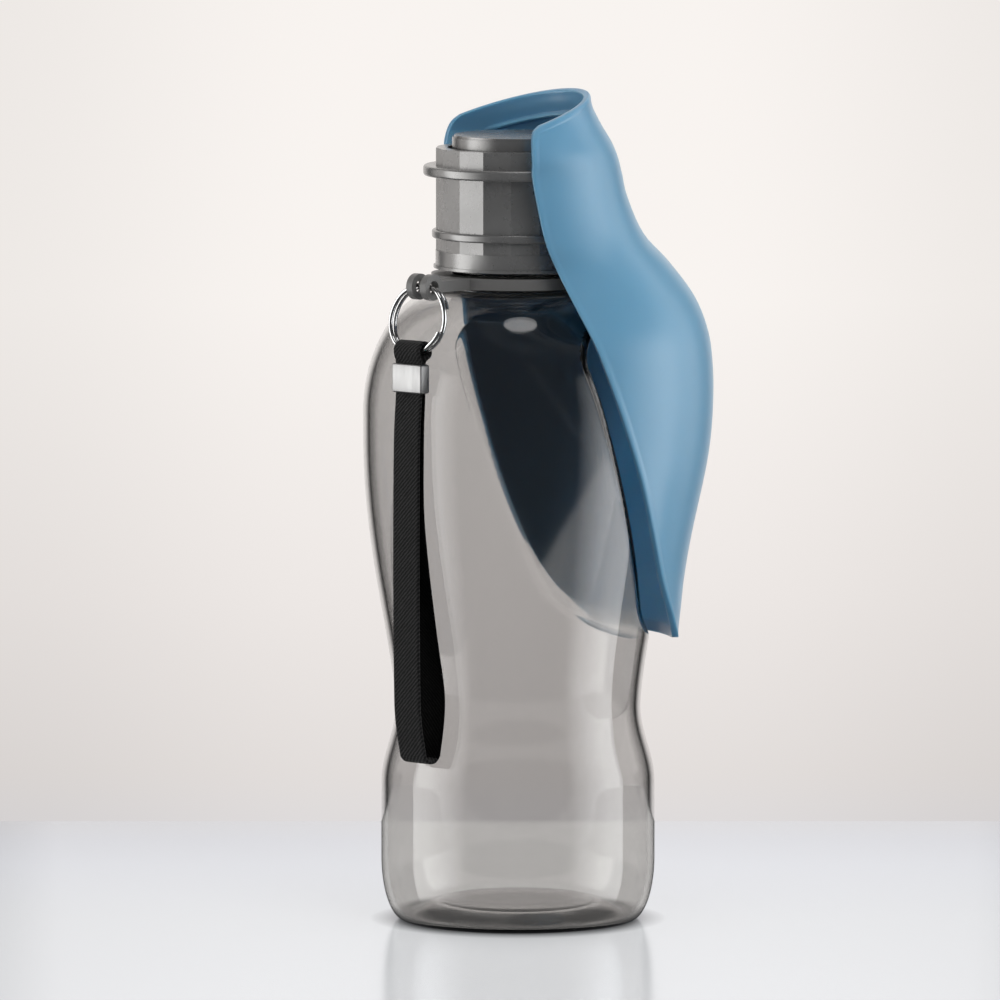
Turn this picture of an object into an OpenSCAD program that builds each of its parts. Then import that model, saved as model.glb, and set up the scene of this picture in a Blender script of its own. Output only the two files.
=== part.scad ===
// Travel water bottle for a dog: a clear bottle with a slanted face, a faceted screw cap,
// a swing-out drinking trough, a carry collar, a split ring and a wrist strap.
// Origin: centre of the foot the bottle stands on. +Z is up, the trough is on +X.

/* [Bottle] */
// Largest radius of the bottle
belly_r = 44.7; // [40:0.1:45]
// Height of the upper end of the belly
belly_z = 147; // [140:0.5:150]
// Radius of the finger waist
waist_r = 35.4; // [30:0.1:38]
// Height of the finger waist
waist_z = 62; // [56:0.5:68]
// Radius of the bulge below the waist
bulge_r = 39.5; // [37:0.1:42]
// Radius of the flat ring that the bottle stands on
foot_r = 33; // [28:0.5:35]
// Rise of the dimple in the base
punt_h = 4; // [2:0.5:8]
// Height of the domed shoulder
shoulder_h = 37; // [32:0.5:39]
// Thickness of the bottle wall
bottle_wall = 1.8; // [1.2:0.1:2.4]
// Lean of the slanted face from upright, in degrees
face_lean = 18; // [12:0.5:22]
// Height of the foot of the slanted face
face_foot_z = 86; // [82:0.5:92]
// Distance of the slanted face from the axis at its foot
face_foot_x = 26.9; // [25:0.1:28]
// Outer radius of the neck
neck_r = 18.6; // [16:0.1:19]
// Inner radius of the neck
neck_bore_r = 16.4; // [13:0.1:16.8]
// Length of the neck above the shoulder
neck_len = 27.7; // [24:0.1:29]
// How far the thread ribs stand out of the neck
thread_h = 0.6; // [0.3:0.05:0.7]
// Width of the bead that keeps the collar on the neck
bead_h = 1; // [0.6:0.1:1.2]

/* [Cap] */
// Radius of the cap over its facet corners
cap_r = 23.7; // [23:0.1:24.5]
// Number of facets around the cap
cap_facets = 18; // [14:1:24]
// Turn of the facets around the axis, in degrees
facet_turn = -2; // [-10:1:10]
// Height of the whole cap shell
cap_h = 34.6; // [33:0.1:36]
// Height of the smooth skirt below the facets
skirt_h = 5.1; // [3:0.1:7]
// Wall of the cap around the liner
cap_wall = 2.3; // [1.5:0.1:2.5]
// Thickness of the deck inside the cap
deck_t = 2; // [1.5:0.1:3]
// Thickness of the sealing gasket
gasket_t = 2; // [1:0.1:2.5]
// Radius of the outlet port in the deck
port_r = 2.6; // [1.5:0.1:3.5]
// Distance of the outlet port from the axis
port_x = 10; // [8:0.5:12]
// Radius of the turning dial on top
dial_r = 19; // [16:0.1:19.8]
// Height of the dial
dial_h = 11.3; // [9:0.1:12]
// Radius of the stem that the dial turns on
stem_r = 3; // [2:0.1:4]
// How far the lower grip ring stands out of the facets' corners
grip_w = 1.1; // [1:0.1:2]
// Thickness of the lower grip ring
grip_t = 2.4; // [1.5:0.1:3]

/* [Trough] */
// How far the ring that carries the trough stands out of the facets' corners
hinge_ring_w = 3.6; // [3:0.1:3.9]
// Thickness of that ring
hinge_ring_t = 3; // [2:0.1:4]
// Wall of the trough
trough_wall = 2; // [1.6:0.1:2.2]
// Gap between the belly and the inside of the trough
trough_gap = 0.9; // [0.7:0.1:2.3]
// Reach of the back of the trough from the bottle's axis
trough_reach = 57.8; // [54:0.2:62]
// Height of the trough's lower tip
tip_z = 81; // [76:0.5:83]
// Height of the hood's edge beside the cap
hood_z = 231.2; // [230:0.2:232]
// Rise of the hood's edge towards its back
hood_rise = 9; // [6:0.5:12]
// Radius of the two pivot pins
pivot_r = 2; // [1.2:0.1:2.5]

/* [Carrying] */
// Direction of the collar's lug around the bottle, in degrees
lug_angle = -159; // [-175:1:-150]
// Outer radius of the collar
collar_r = 25; // [23:0.1:26]
// Height of the collar
collar_h = 3.2; // [2.5:0.1:3.2]
// How far inside the belly's side the lug's hole lies
lug_in = 4.7; // [3.7:0.1:5.2]
// Radius of the lug's two ears
ear_r = 3.75; // [3.3:0.05:4]
// Thickness of each ear
ear_t = 2.2; // [1.5:0.1:2.5]
// Gap between the ears
ear_gap = 3; // [2:0.1:3.4]
// Outer radius of the split ring
ring_r = 10.5; // [9.5:0.1:11]
// Thickness of the split ring's wire
wire_d = 1.3; // [1:0.05:1.4]
// Lean of the hanging split ring, in degrees
ring_lean = 15; // [12:0.5:20]
// Width of the strap webbing
strap_w = 10; // [8:0.5:12]
// Thickness of the strap webbing
strap_t = 1; // [0.7:0.05:1.2]
// Length of the hanging strap loop
strap_len = 122; // [100:1:135]
// Height of the metal clip on the strap
clip_h = 8.3; // [6:0.1:10]
// Thickness of the clip's metal
clip_t = 0.6; // [0.4:0.05:0.8]

/* [Hidden] */
$fn = 96;
fit = 0.05;          // running fit on a shaft
gap = 0.3;           // gap between moving pieces
over = 1;            // how far a cut runs past the surface it opens
clear = "#9a9a98";
smoke = "#8f8d8a";
blue = "#8fbcd8";
steel = "#d5d5d5";
black = "#1c1c1c";

trough_w = belly_r + trough_gap + trough_wall;   // half the trough's width at its widest
lug_x = belly_r - lug_in;
shoulder_top = belly_z + shoulder_h;
neck_top = shoulder_top + neck_len;
collar_z = shoulder_top + gap;
bead_z = collar_z + collar_h + gap;
cap_z = bead_z + bead_h + gap;
cap_top = cap_z + cap_h;
facet_z = cap_z + skirt_h;
liner_r = cap_r * cos(180 / cap_facets) - cap_wall;
deck_z = neck_top + fit + gasket_t;
well_z = deck_z + deck_t;
well_r = dial_r + 1.3;
dial_z = well_z + gap;
hinge_drop = 6.5;    // from the cap's top down to the hinge's axis
hinge_z = cap_top - hinge_drop;
hinge_ring_r = cap_r + hinge_ring_w;
grip_rise = 3.5;     // from the foot of the facets up to the grip ring
grip_z = facet_z + grip_rise;
grip_r = cap_r + grip_w;
lip_w = 0.6;         // thin lip round the skirt's foot
lip_h = 0.8;
seal_t = 1;
seal_w = 1.6;
seal_r = port_r + seal_w;
dial_edge = 0.6;
dial_clip_t = 1.2;
stem_tail = 3;       // stem below the deck, for its clip
stem_len = dial_z + dial_h / 2 - (deck_z - stem_tail);
thread_rise = 6;     // first thread rib above the cap's foot
thread_pitch = 4.5;
thread_w = 1.6;

function ease(t) = (1 - cos(180 * t)) / 2;
function mix(a, b, t) = a + (b - a) * t;

// Outer radius of the bottle's side, from the foot's corner up to the belly.
foot_top = 18;                // height of the foot's rounded corner
bulge_top = 40;               // where the bulge starts to narrow to the waist
flank_top = belly_z - 6;      // where the flank is full width
flank_bend = 0.77;            // below 1 the flank widens sooner above the waist
punt_r = foot_r - 11;         // flat middle of the dimple in the base
punt_foot_r = foot_r - 3;     // foot of the dimple
function side_r(z) =
    z < bulge_top ? bulge_r :
    z < waist_z ? mix(bulge_r, waist_r, ease((z - bulge_top) / (waist_z - bulge_top))) :
    mix(waist_r, belly_r, ease(pow(min(1, (z - waist_z) / (flank_top - waist_z)), flank_bend)));

// Half outline of the bottle, moved inwards by a wall.
function bottle_outline(wall) = concat(
    [[0, punt_h + wall], [punt_r, punt_h + wall], [punt_foot_r, wall]],
    [for (a = [0:10:80]) [foot_r + (bulge_r - foot_r) * sin(a) - wall * sin(a),
        foot_top - (foot_top - wall) * cos(a)]],
    [for (z = [foot_top:3:belly_z - 1]) [side_r(z) - wall, z]],
    [for (a = [0:6:90]) [neck_r - wall + (belly_r - neck_r) * cos(a),
        belly_z + (shoulder_h - wall) * sin(a)]],
    [[0, shoulder_top - wall]]);

// Slanted face, as an upright outline that is cut away towards +X.
face_slope = tan(face_lean);
function face_x(z) = face_foot_x - (z - face_foot_z) * face_slope;
face_sill = 6;                // fall of the sill at the face's foot
brow_foot = shoulder_top - 14;
brow_top = shoulder_top - 4;
brow_x = neck_r + bead_h + gap;
module face_cut(wall) {
    shift = wall / cos(face_lean);
    high_z = shoulder_top + over;
    far_x = belly_r + over;
    rotate([90, 0, 0]) linear_extrude(height = 2 * far_x, center = true)
        polygon([[face_x(face_foot_z) - shift, face_foot_z - wall], [far_x, face_foot_z - face_sill - wall],
            [far_x, high_z],
            [brow_x - wall, high_z], [brow_x - wall, brow_top - wall],
            [face_x(brow_foot) - shift, brow_foot - wall]]);
}

module bottle_solid(wall) {
    difference() {
        rotate_extrude() polygon(bottle_outline(wall));
        face_cut(wall);
    }
}

module bottle_shell() {
    difference() {
        union() {
            bottle_solid(0);
            translate([0, 0, shoulder_top - bottle_wall]) cylinder(h = neck_len + bottle_wall, r = neck_r);
            translate([0, 0, bead_z]) cylinder(h = bead_h, r = neck_r + bead_h);
            for (i = [0:2]) translate([0, 0, cap_z + thread_rise + i * thread_pitch])
                cylinder(h = thread_w, r = neck_r + thread_h);
        }
        bottle_solid(bottle_wall);
        translate([0, 0, shoulder_top - bottle_wall - over])
            cylinder(h = neck_len + bottle_wall + 2 * over, r = neck_bore_r);
    }
}
// The bottle is one blown piece. It is kept as four that meet at its waist, at the foot of its
// slanted face and at the foot of its neck, so that each stays simple and hollow.
module bottle_between(low, high) {
    color(smoke, 0.5) intersection() {
        bottle_shell();
        translate([0, 0, low]) cylinder(h = high - low, r = belly_r + over);
    }
}
module bottle_foot() { bottle_between(0, waist_z); }
module bottle_waist() { bottle_between(waist_z, face_foot_z); }
module bottle_body() { bottle_between(face_foot_z, shoulder_top); }
module bottle_neck() { bottle_between(shoulder_top, neck_top); }

// Collar: a flat ring on the neck with an arm that ends in two ears.
lug_z = collar_z + collar_h / 2;
ear_hole_r = wire_d * 1.5;
lug_w = ear_gap + 2 * ear_t;
ear_root = ear_r + 1;
arm_end = lug_x - ear_root;
module carry_collar() {
    color(clear) rotate([0, 0, lug_angle]) difference() {
        union() {
            translate([0, 0, collar_z]) cylinder(h = collar_h, r = collar_r);
            translate([0, -lug_w / 2, collar_z]) cube([arm_end + ear_r / 2, lug_w, collar_h]);
            for (side = [-1, 1])
                translate([lug_x, side * (ear_gap + ear_t) / 2, lug_z]) ear();
        }
        translate([0, 0, collar_z - over]) cylinder(h = collar_h + 2 * over, r = neck_r + gap);
        translate([lug_x, 0, lug_z]) rotate([90, 0, 0])
            cylinder(h = lug_w + 2 * over, r = ear_hole_r, center = true);
        translate([arm_end, -ear_gap / 2, lug_z - ear_r - over])
            cube([2 * ear_r + over, ear_gap, 2 * ear_r + 2 * over]);
    }
}
module ear() {
    rotate([90, 0, 0]) cylinder(h = ear_t, r = ear_r, center = true);
    translate([-ear_root, -ear_t / 2, -collar_h / 2]) cube([ear_root, ear_t, collar_h]);
}

// Split ring: two flat turns of round wire in one unbroken tube, which crosses over at its side.
wire_sides = 6;
turn_step = 15;
cross = 15;          // half the angle over which the wire crosses to its second turn
turn_gap = 0.45;
turn_pitch = wire_d + turn_gap;
ring_mid_r = ring_r - wire_d / 2;
turn_angles = [for (a = [cross:turn_step:720 - cross]) a];
function turn_x(a) = turn_pitch / 2 * sin(90 * max(-1, min(1, (a - 360) / cross)));
ring_points = [for (a = turn_angles) [turn_x(a), ring_mid_r * cos(a), ring_mid_r * sin(a)]];
function wire_ring(i) = let (a = turn_angles[i])
    [for (k = [0:wire_sides - 1]) let (b = k * 360 / wire_sides)
        ring_points[i] + wire_d / 2 * [sin(b), cos(b) * cos(a), cos(b) * sin(a)]];
ring_drop = ring_mid_r - (ear_hole_r - wire_d / 2) / 3;
echo(split_ring_gap = turn_gap);
module split_ring() {
    n = len(turn_angles) - 1;
    points = [for (i = [0:n]) each wire_ring(i)];
    sides = [for (i = [0:n - 1]) for (k = [0:wire_sides - 1])
        let (a = i * wire_sides + k, b = i * wire_sides + (k + 1) % wire_sides)
        each [[a, a + wire_sides, b], [b, a + wire_sides, b + wire_sides]]];
    ends = concat(
        [for (k = [1:wire_sides - 2]) [0, k, k + 1]],
        [for (k = [1:wire_sides - 2]) [n * wire_sides, n * wire_sides + k + 1, n * wire_sides + k]]);
    color(steel) at_ring() polyhedron(points = points, faces = concat(sides, ends));
}
// Places the ring's own frame: its middle, with X pointing away from the bottle.
module at_ring() {
    rotate([0, 0, lug_angle]) translate([lug_x, 0, lug_z]) rotate([0, -ring_lean, 0])
        translate([0, 0, -ring_drop]) children();
}

// Strap: one closed loop of webbing that hangs from the foot of the ring.
fold_r = 2;
ring_foot_x = lug_x + (ring_drop + ring_mid_r) * sin(ring_lean);
ring_foot_z = lug_z - (ring_drop + ring_mid_r) * cos(ring_lean);
fold_rise = 0.7;     // the fold's centre above the ring's foot, as the wire bends up within its width
fold_z = ring_foot_z + fold_rise;
strap_bottom = fold_z + fold_r + strap_t - strap_len;
clip_drop = 1.7;     // from the fold's foot down to the clip
clip_z = fold_z - fold_r - clip_drop - clip_h;
hang = 0.8;          // how far the strap hangs outside the ring's foot
strap_gap = 0.6;     // least gap to the bottle's side
loop_r = 3.2;        // radius of the strap's bottom bend
layers = 1.3;        // spacing of the two layers in the clip
// A point of the strap's middle line at a share of the height from its bottom to the clip.
function strap_at(x, t) = [x + hang, mix(strap_bottom, clip_z, t)];
// The same, kept off the bottle's side.
function side_x(z) = side_r(z) + strap_gap + strap_t / 2 - ring_foot_x;
function back_at(x, t) = let (p = strap_at(x, t)) [max(p[0], side_x(p[1])), p[1]];
bow = 2;             // how far the outer layer bows outwards
loop_in = 8.6;       // how far the inner layer swings in above the bottom bend
loop_z = strap_bottom + loop_r + strap_t / 2;
loop_x = max(hang - 1.2 * loop_r, side_x(loop_z) + loop_r);
outer_x = hang + 0.1 + layers / 2;
inner_x = outer_x - layers;
// Middle line of the webbing: down the outer layer, round the bottom and up the inner one.
outer_line = [[fold_r + strap_t / 2, fold_z], [fold_r + strap_t / 4, fold_z - 0.75 * fold_r],
    [outer_x, clip_z + clip_h], [outer_x, clip_z], strap_at(0.85 * bow, 0.86), strap_at(bow, 0.54),
    [max(hang + 0.85 * bow, loop_x + loop_r + 1.15 * bow), mix(strap_bottom, clip_z, 0.22)],
    [loop_x + loop_r + 0.9 * bow, mix(strap_bottom, clip_z, 0.12)]];
back_line = [back_at(-loop_in, 0.12), back_at(-loop_in, 0.2), back_at(-0.63 * loop_in, 0.35),
    back_at(-0.22 * loop_in, 0.54), back_at(0, 0.69), back_at(0, 0.88),
    [inner_x, clip_z], [inner_x, clip_z + clip_h],
    [-fold_r - strap_t / 4, fold_z - 0.7 * fold_r], [-fold_r - strap_t / 2, fold_z]];
function arc(c, r, a, b, n) = [for (i = [0:n]) let (t = a + (b - a) * i / n) c + r * [cos(t), sin(t)]];
strap_line = concat(outer_line,
    arc([loop_x, loop_z], loop_r, 0, -180, 8), back_line,
    arc([0, fold_z], fold_r + strap_t / 2, 165, 15, 6));
function side_of(i, w) = let (n = len(strap_line), d = strap_line[(i + 1) % n] - strap_line[(i + n - 1) % n])
    strap_line[i] + w / norm(d) * [d[1], -d[0]];
module strap_shape(w) {
    polygon([for (i = [0:len(strap_line) - 1]) side_of(i, w)]);
}
module wrist_strap() {
    color(black) rotate([0, 0, lug_angle]) translate([ring_foot_x, 0, 0]) rotate([90, 0, 0])
        linear_extrude(height = strap_w, center = true) difference() {
            strap_shape(-strap_t / 2);
            strap_shape(strap_t / 2);
        }
}
clip_mid = (outer_x + inner_x) / 2;
clip_room = layers + strap_t + 4 * fit;
module strap_clip() {
    color(steel) rotate([0, 0, lug_angle]) translate([ring_foot_x + clip_mid, 0, clip_z]) difference() {
        translate([-clip_room / 2 - clip_t, -strap_w / 2 - clip_t - fit, 0])
            cube([clip_room + 2 * clip_t, strap_w + 2 * clip_t + 2 * fit, clip_h]);
        translate([-clip_room / 2, -strap_w / 2 - fit, -over])
            cube([clip_room, strap_w + 2 * fit, clip_h + 2 * over]);
    }
}

// Cap shell: facets above, a smooth skirt below, a deck inside and a well for the dial.
module facets(r, h) {
    rotate([0, 0, facet_turn]) linear_extrude(height = h)
        polygon([for (i = [0:cap_facets - 1]) let (a = i * 360 / cap_facets) r * [cos(a), sin(a)]]);
}
module cap_shell() {
    color("#a3a09d") difference() {
        union() {
            translate([0, 0, facet_z]) facets(cap_r, cap_top - facet_z);
            translate([0, 0, cap_z]) cylinder(h = skirt_h, r = cap_r + fit);
            translate([0, 0, cap_z]) cylinder(h = lip_h, r = cap_r + fit + lip_w);
        }
        translate([0, 0, cap_z - over]) cylinder(h = deck_z - cap_z + over, r = liner_r);
        translate([0, 0, well_z]) cylinder(h = cap_top - well_z + over, r = well_r);
        translate([0, 0, deck_z - over]) cylinder(h = deck_t + 2 * over, r = stem_r + fit);
        translate([port_x, 0, deck_z - over]) cylinder(h = deck_t + 2 * over, r = port_r);
    }
}
module cap_liner() {
    color("#c9c7c3") translate([0, 0, cap_z]) difference() {
        cylinder(h = deck_z - gasket_t - cap_z, r = liner_r);
        translate([0, 0, -over]) cylinder(h = deck_z - cap_z + 2 * over, r = neck_r + thread_h + gap);
    }
}
module cap_gasket() {
    color("#e8e6e0") translate([0, 0, deck_z - gasket_t]) difference() {
        cylinder(h = gasket_t, r = liner_r - fit);
        translate([0, 0, -over]) cylinder(h = gasket_t + 2 * over, r = neck_bore_r - 1);
    }
}
module deck_seal() {
    color("#e8e6e0") translate([port_x, 0, deck_z - seal_t]) difference() {
        cylinder(h = seal_t, r = seal_r);
        translate([0, 0, -over]) cylinder(h = seal_t + 2 * over, r = port_r);
    }
}
// Ring that carries the trough, pushed over the facets.
ring_edge = 0.8;
module hinge_ring() {
    color("#8d8a87") translate([0, 0, hinge_z - hinge_ring_t / 2]) difference() {
        union() {
            cylinder(h = hinge_ring_t, r = hinge_ring_r - ring_edge);
            translate([0, 0, ring_edge]) cylinder(h = hinge_ring_t - 2 * ring_edge, r = hinge_ring_r);
        }
        translate([0, 0, -over]) facets(cap_r, hinge_ring_t + 2 * over);
        for (side = [-1, 1]) translate([0, side * hinge_ring_r, hinge_ring_t / 2]) rotate([90, 0, 0])
            cylinder(h = 2 * pin_seat, r = pin_shank_r, center = true);
    }
}
module grip_ring() {
    color("#8d8a87") translate([0, 0, grip_z]) difference() {
        cylinder(h = grip_t, r = grip_r);
        translate([0, 0, -over]) facets(cap_r, grip_t + 2 * over);
    }
}
// Pivot pins: a shank pressed into the ring and a head that the trough turns on.
pin_seat = 1.8;
pin_shank_r = 1;
hood_in_r = hinge_ring_r + gap + 0.2;
pin_out = hood_in_r + trough_wall * 0.45;
module pivot_pin(side) {
    color(steel) translate([0, side * hinge_ring_r, hinge_z]) rotate([-90 * side, 0, 0]) {
        translate([0, 0, -pin_seat]) cylinder(h = pin_seat, r = pin_shank_r);
        cylinder(h = pin_out - hinge_ring_r, r = pivot_r);
    }
}
module pivot_pin_near() { pivot_pin(-1); }
module pivot_pin_far() { pivot_pin(1); }

// Dial: turns on its stem to bring its outlet over the port or away from it.
module dial_disc() {
    color("#8d8a87") difference() {
        union() {
            translate([0, 0, dial_z]) cylinder(h = dial_h, r = dial_r - dial_edge);
            translate([0, 0, dial_z]) cylinder(h = dial_h - dial_edge, r = dial_r);
        }
        translate([0, 0, dial_z - over]) cylinder(h = dial_h / 2 + over, r = stem_r + fit);
        translate([port_x, 0, dial_z - over]) cylinder(h = dial_h + 2 * over, r = port_r);
        translate([port_x, 0, dial_z - over]) cylinder(h = over + seal_t, r = seal_r);
    }
}
module dial_stem() {
    color(clear) translate([0, 0, dial_z + dial_h / 2 - stem_len]) cylinder(h = stem_len, r = stem_r);
}
module dial_clip() {
    color(steel) translate([0, 0, deck_z - gap - dial_clip_t]) difference() {
        cylinder(h = dial_clip_t, r = stem_r + seal_w);
        translate([0, 0, -over]) cylinder(h = dial_clip_t + 2 * over, r = stem_r);
    }
}
module dial_seal() {
    color("#e8e6e0") translate([port_x, 0, dial_z - gap / 2]) difference() {
        cylinder(h = seal_t + gap / 2, r = seal_r);
        translate([0, 0, -over]) cylinder(h = seal_t + gap + 2 * over, r = port_r);
    }
}

// Trough: a deep scoop. Each station is [height, half width, reach of the back, edge's x].
hood_r = hood_in_r + trough_wall;
edge_gap = 3.7;      // from the slanted face out to the trough's edge
function edge_at(z) = face_x(z) + edge_gap;
// Half width of the hood that lets it swing past the hinge ring.
function hood_half(z) = sqrt(pow(hinge_ring_r, 2) - pow(z - hinge_z, 2)) + hood_r - hinge_ring_r;
stations = [
    [tip_z, trough_w - 2.2, trough_reach - 11.4, trough_reach - 13.4],
    [tip_z + 1, trough_w - 2.1, trough_reach - 11.2, trough_reach - 18],
    [tip_z + 4, trough_w - 2, trough_reach - 11, edge_at(tip_z + 4) + 5.7],
    [tip_z + 9, trough_w - 1.9, trough_reach - 10.4, edge_at(tip_z + 9) + 3.6],
    [tip_z + 19, trough_w - 1.5, trough_reach - 9.2, edge_at(tip_z + 19) + 0.9],
    [tip_z + 31, trough_w - 0.3, trough_reach - 7, edge_at(tip_z + 31)],
    [tip_z + 49, trough_w, trough_reach - 2.6, edge_at(tip_z + 49)],
    [belly_z - 7, trough_w - 0.5, trough_reach - 0.8, edge_at(belly_z - 7)],
    [belly_z + 3, trough_w - 1, trough_reach, edge_at(belly_z + 3)],
    [belly_z + 13, trough_w - 2, trough_reach, edge_at(belly_z + 13)],
    [belly_z + 23, trough_w - 3.6, trough_reach - 1.3, edge_at(belly_z + 23)],
    [belly_z + 33, trough_w - 7.6, trough_reach - 5.2, edge_at(belly_z + 33)],
    [belly_z + 43, trough_w - 12.2, trough_reach - 12.8, edge_at(belly_z + 43)],
    [grip_z + 1, hood_r + 3, hood_r + 6.9, -6.6],
    [hinge_z - 7.5, hood_r + 1.2, hood_r + 1.8, -8.6],
    [hinge_z, hood_r, hood_r, -9.4],
    [hinge_z + 4, hood_half(hinge_z + 4), hood_r - 2.4, -9.5],
    [hinge_z + 7.5, hood_half(hinge_z + 7.5), hood_r - 5.8, -9.5],
    [hood_z - 3, hood_half(hood_z - 3), hood_r - 8.6, -9],
    [hood_z - 1, hood_half(hood_z - 1), hood_r - 9.4, -8],
    [hood_z, hood_half(hood_z), hood_r - 9.8, -5.8]];
arc_steps = 20;
// A point of the scoop: how far it lies round the station's arc, from -1 to 1, and its wall.
lift_from = -7.6;    // the hood's edge only rises behind this distance
function lift(z, x) = z <= hinge_z ? 0 :
    hood_rise * (z - hinge_z) / (hood_z - hinge_z) * (x - lift_from) / (hood_r - 9.2 - lift_from);
function scoop(s, u, wall) = let (
    c = s[2] - s[1],
    r = s[1] - wall,
    a = u * acos(max(-0.999, min(0.999, (s[3] - c) / (s[1] - wall / 2)))),
    x = c + r * cos(a))
    [x, r * sin(a), s[0] + lift(s[0], x)];
function scoop_row(s, wall) = [for (i = [0:arc_steps]) scoop(s, -1 + 2 * i / arc_steps, wall)];
function strip(a, b) = [for (i = [0:arc_steps - 1])
    each [[a + i, a + i + 1, b + i], [a + i + 1, b + i + 1, b + i]]];
module scoop_solid(rows, outer, inner) {
    n = len(rows);
    w = arc_steps + 1;
    points = concat([for (s = rows) each scoop_row(s, outer)], [for (s = rows) each scoop_row(s, inner)]);
    m = n * w;
    outside = [for (j = [0:n - 2]) each strip((j + 1) * w, j * w)];
    inside = [for (j = [0:n - 2]) each strip(m + j * w, m + (j + 1) * w)];
    bottom = strip(0, m);
    top = strip(m + (n - 1) * w, (n - 1) * w);
    edges = [for (j = [0:n - 2]) let (a = j * w, b = a + w) each [
        [a, m + a, b], [b, m + a, m + b],
        [a + w - 1, b + w - 1, m + a + w - 1], [b + w - 1, m + b + w - 1, m + a + w - 1]]];
    polyhedron(points = points, faces = concat(outside, inside, bottom, top, edges));
}
module trough_shell() {
    color(blue) difference() {
        scoop_solid(stations, 0, trough_wall);
        for (side = [-1, 1]) translate([0, side * (pin_out + gap / 2), hinge_z]) rotate([90 * side, 0, 0])
            cylinder(h = trough_wall + over, r = pivot_r + fit);
    }
}

bottle_foot();
bottle_waist();
bottle_body();
bottle_neck();
carry_collar();
split_ring();
wrist_strap();
strap_clip();
cap_shell();
cap_liner();
cap_gasket();
deck_seal();
hinge_ring();
grip_ring();
pivot_pin_near();
pivot_pin_far();
dial_disc();
dial_stem();
dial_clip();
dial_seal();
trough_shell();
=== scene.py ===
"""A travel water bottle for a dog: clear bottle, faceted cap, trough and wrist strap over their CAD frame."""

import math

import bmesh
import bpy
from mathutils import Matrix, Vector


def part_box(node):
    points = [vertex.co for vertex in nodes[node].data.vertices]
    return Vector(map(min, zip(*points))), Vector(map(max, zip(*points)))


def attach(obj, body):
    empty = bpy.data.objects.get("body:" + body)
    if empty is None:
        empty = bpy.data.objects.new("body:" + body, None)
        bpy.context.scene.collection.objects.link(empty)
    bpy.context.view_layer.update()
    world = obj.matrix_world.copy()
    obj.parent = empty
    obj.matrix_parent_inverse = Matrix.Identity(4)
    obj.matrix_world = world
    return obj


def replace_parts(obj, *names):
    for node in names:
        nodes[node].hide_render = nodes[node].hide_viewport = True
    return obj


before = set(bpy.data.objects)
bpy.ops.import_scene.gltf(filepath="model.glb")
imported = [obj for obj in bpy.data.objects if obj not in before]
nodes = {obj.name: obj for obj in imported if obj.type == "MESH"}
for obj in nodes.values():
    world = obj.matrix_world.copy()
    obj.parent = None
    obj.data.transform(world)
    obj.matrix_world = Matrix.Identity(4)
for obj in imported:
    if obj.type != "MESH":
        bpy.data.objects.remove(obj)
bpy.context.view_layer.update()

MM = 0.001


# ---------------------------------------------------------------- sizes, in millimetres
def span(node):
    """Lowest and highest corner of a CAD node, in millimetres."""
    lo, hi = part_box(node)
    return Vector(lo) / MM, Vector(hi) / MM


body_hi = span("bottle_body")[1]
neck_lo, neck_hi = span("bottle_neck")
cap_hi = span("cap_shell")[1]
ring_lo, ring_hi = span("hinge_ring")
grip_lo, grip_hi = span("grip_ring")
trough_lo, trough_hi = span("trough_shell")

HINGE_Z = (ring_lo.z + ring_hi.z) / 2
TIP_Z = trough_lo.z
RING_R = ring_hi.x
BELLY_R = body_hi.y
NECK_TOP, SHOULDER_TOP = neck_hi.z, neck_lo.z
SHOULDER_H = 37
BELLY_Z = SHOULDER_TOP - SHOULDER_H
WAIST_R, WAIST_Z = 35.4, 62
BULGE_R, BULGE_TOP = 39.5, 40
FOOT_R, FOOT_TOP, PUNT_H = 33, 18, 4
NECK_R, NECK_BORE_R = 18.6, 16.4
RIBS, RIB_START, RIB_PITCH, RIB_H = 3, 11.1, 4.5, 0.6  # plain ribs on the neck, from the shoulder's top
WALL = 1.8
FACE_FOOT_Z, FACE_FOOT_X, FACE_SLOPE = 86, 26.9, math.tan(math.radians(18))
LUG_ANGLE = math.radians(-159)
CAMERA_ANGLE, CAMERA_LIFT = -27, 6


# ---------------------------------------------------------------- small helpers
def mix(a, b, t):
    return a + (b - a) * t


def ease(t):
    t = max(0.0, min(1.0, t))
    return (1 - math.cos(math.pi * t)) / 2


def soft_min(a, b, k):
    """The smaller of two lengths, rounded where they meet."""
    h = max(0.0, min(1.0, 0.5 + 0.5 * (b - a) / k))
    return mix(b, a, h) - k * h * (1 - h)


def catmull(rows, per):
    """Rows of numbers with per - 1 smooth rows put between each pair."""
    out = []
    for i in range(len(rows) - 1):
        p = [rows[max(0, min(len(rows) - 1, i + k))] for k in (-1, 0, 1, 2)]
        for j in range(per):
            t = j / per
            row = []
            for a, b, c, d in zip(*p):
                square, cube = 2 * a - 5 * b + 4 * c - d, 3 * b - a - 3 * c + d
                row.append(0.5 * (2 * b + (c - a) * t + square * t * t + cube * t**3))
            out.append(row)
    out.append(list(rows[-1]))
    return out


def mesh_object(name, points, faces, body, material, smooth=True):
    """A mesh from points in millimetres, riding on a body."""
    mesh = bpy.data.meshes.new(name)
    mesh.from_pydata([Vector(p) * MM for p in points], [], faces)
    mesh.update()
    bm = bmesh.new()
    bm.from_mesh(mesh)
    bmesh.ops.recalc_face_normals(bm, faces=bm.faces)
    bm.to_mesh(mesh)
    bm.free()
    mesh.polygons.foreach_set("use_smooth", [smooth] * len(mesh.polygons))
    obj = bpy.data.objects.new(name, mesh)
    bpy.context.scene.collection.objects.link(obj)
    mesh.materials.append(material)
    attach(obj, body)
    return obj


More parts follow.
